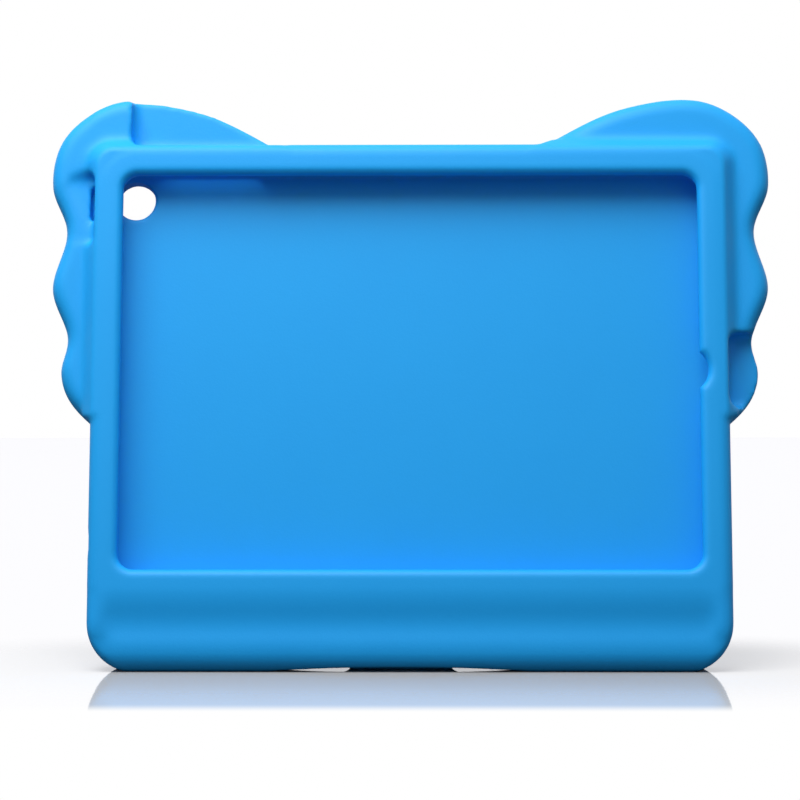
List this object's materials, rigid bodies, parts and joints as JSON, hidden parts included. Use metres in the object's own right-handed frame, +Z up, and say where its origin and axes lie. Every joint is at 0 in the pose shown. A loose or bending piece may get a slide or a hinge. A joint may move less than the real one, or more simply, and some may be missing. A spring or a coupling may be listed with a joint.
{
  "type": "kids tablet case",
  "caption": "Foam case for a child's small tablet, with butterfly wings as handles, a window for the screen, and a rear leg that stands it up.",
  "frame": {"origin": "on the table, under the middle of the case's bounding box", "axes": "+X along the case's width, to the right of the child who looks at the screen; +Y to the back, where the leg is; +Z up; the screen leans back 9 degrees"},
  "size_m": [0.2392, 0.048, 0.1881],
  "materials": {
    "foam": "matt moulded EVA foam"
  },
  "bodies": {
    "root": {"foam_case": "foam"}
  },
  "joints": []
}
